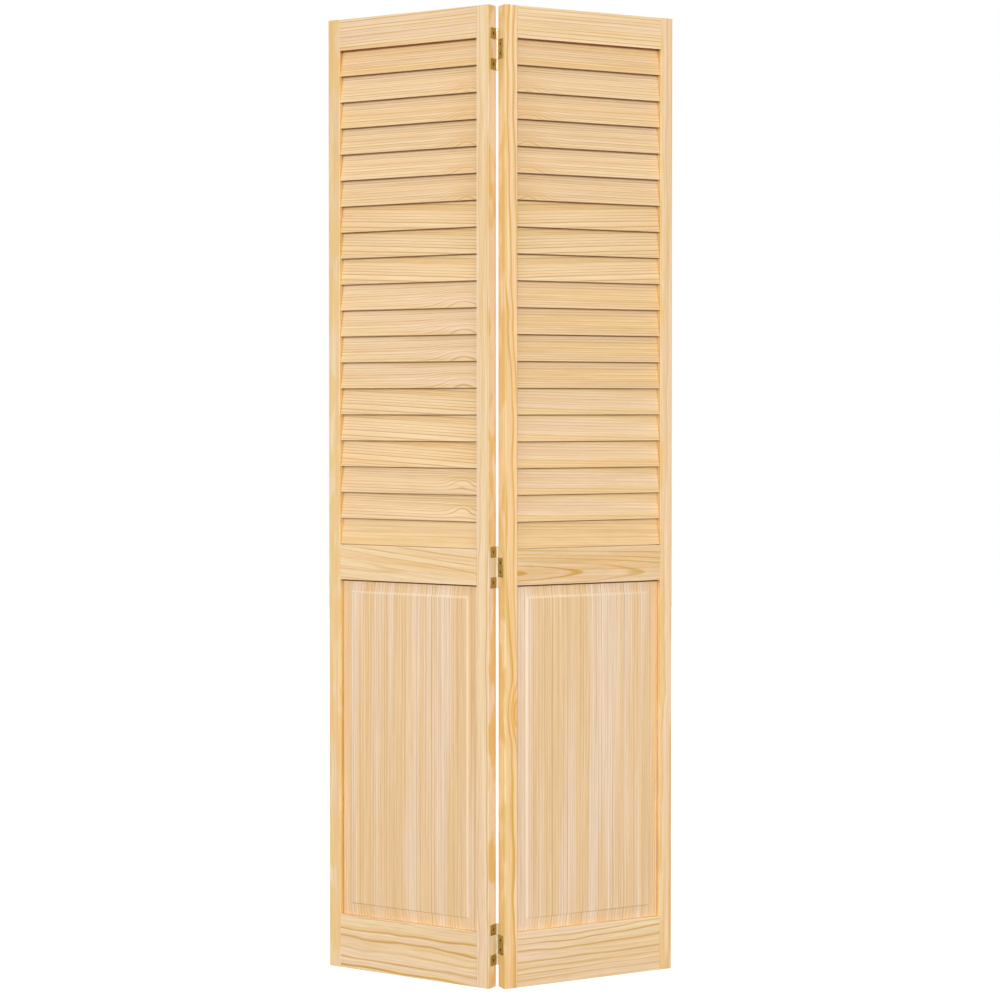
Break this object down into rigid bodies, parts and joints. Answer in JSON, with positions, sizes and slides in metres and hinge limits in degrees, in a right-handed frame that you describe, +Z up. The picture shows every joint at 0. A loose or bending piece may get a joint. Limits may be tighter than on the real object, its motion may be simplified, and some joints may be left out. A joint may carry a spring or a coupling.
{
  "type": "bifold closet door",
  "caption": "Unfinished pine bifold closet door, half folded: hinged louvre-over-panel leaves with stiles, rails, fixed slats, raised panels and brass hinges.",
  "frame": {"origin": "floor level, under the middle of the half-folded door's bounding box", "axes": "+Z up along the door's height; the fold points to -Y, where the viewer stands; the leaf with the hinge tabs is towards -X"},
  "size_m": [0.7258, 0.2158, 2.007],
  "materials": {
    "pine_frame": "bare sanded clear pine, straight and cathedral grain",
    "pine_slats": "bare sanded pine, fine grain along the slat",
    "pine_panels": "bare sanded pine, tight upright grain",
    "aged_brass": "antique brass plate on steel, mottled, worn bright on the barrels"
  },
  "bodies": {
    "left_leaf": {"left_hinge_stile": "pine_frame", "left_outer_stile": "pine_frame", "left_top_rail": "pine_frame", "left_mid_rail": "pine_frame", "left_bottom_rail": "pine_frame", "left_panel": "pine_panels", "left_slat_01": "pine_slats", "left_slat_02": "pine_slats", "left_slat_03": "pine_slats", "left_slat_04": "pine_slats", "left_slat_05": "pine_slats", "left_slat_06": "pine_slats", "left_slat_07": "pine_slats", "left_slat_08": "pine_slats", "left_slat_09": "pine_slats", "left_slat_10": "pine_slats", "left_slat_11": "pine_slats", "left_slat_12": "pine_slats", "left_slat_13": "pine_slats", "left_slat_14": "pine_slats", "left_slat_15": "pine_slats", "left_slat_16": "pine_slats", "left_slat_17": "pine_slats", "left_slat_18": "pine_slats", "left_slat_19": "pine_slats", "top_hinge_upper_tab": "aged_brass", "top_hinge_lower_tab": "aged_brass", "middle_hinge_upper_tab": "aged_brass", "middle_hinge_lower_tab": "aged_brass", "bottom_hinge_upper_tab": "aged_brass", "bottom_hinge_lower_tab": "aged_brass"},
    "right_leaf": {"right_hinge_stile": "pine_frame", "right_outer_stile": "pine_frame", "right_top_rail": "pine_frame", "right_mid_rail": "pine_frame", "right_bottom_rail": "pine_frame", "right_panel": "pine_panels", "right_slat_01": "pine_slats", "right_slat_02": "pine_slats", "right_slat_03": "pine_slats", "right_slat_04": "pine_slats", "right_slat_05": "pine_slats", "right_slat_06": "pine_slats", "right_slat_07": "pine_slats", "right_slat_08": "pine_slats", "right_slat_09": "pine_slats", "right_slat_10": "pine_slats", "right_slat_11": "pine_slats", "right_slat_12": "pine_slats", "right_slat_13": "pine_slats", "right_slat_14": "pine_slats", "right_slat_15": "pine_slats", "right_slat_16": "pine_slats", "right_slat_17": "pine_slats", "right_slat_18": "pine_slats", "right_slat_19": "pine_slats", "top_hinge_plate_and_pin": "aged_brass", "middle_hinge_plate_and_pin": "aged_brass", "bottom_hinge_plate_and_pin": "aged_brass"}
  },
  "joints": [
    {"name": "fold", "type": "hinge", "parent": "left_leaf", "child": "right_leaf", "pos_m": [0, -0.08173, 0], "axis": [0, 0, 1], "range_deg": [-58, 122]}
  ]
}
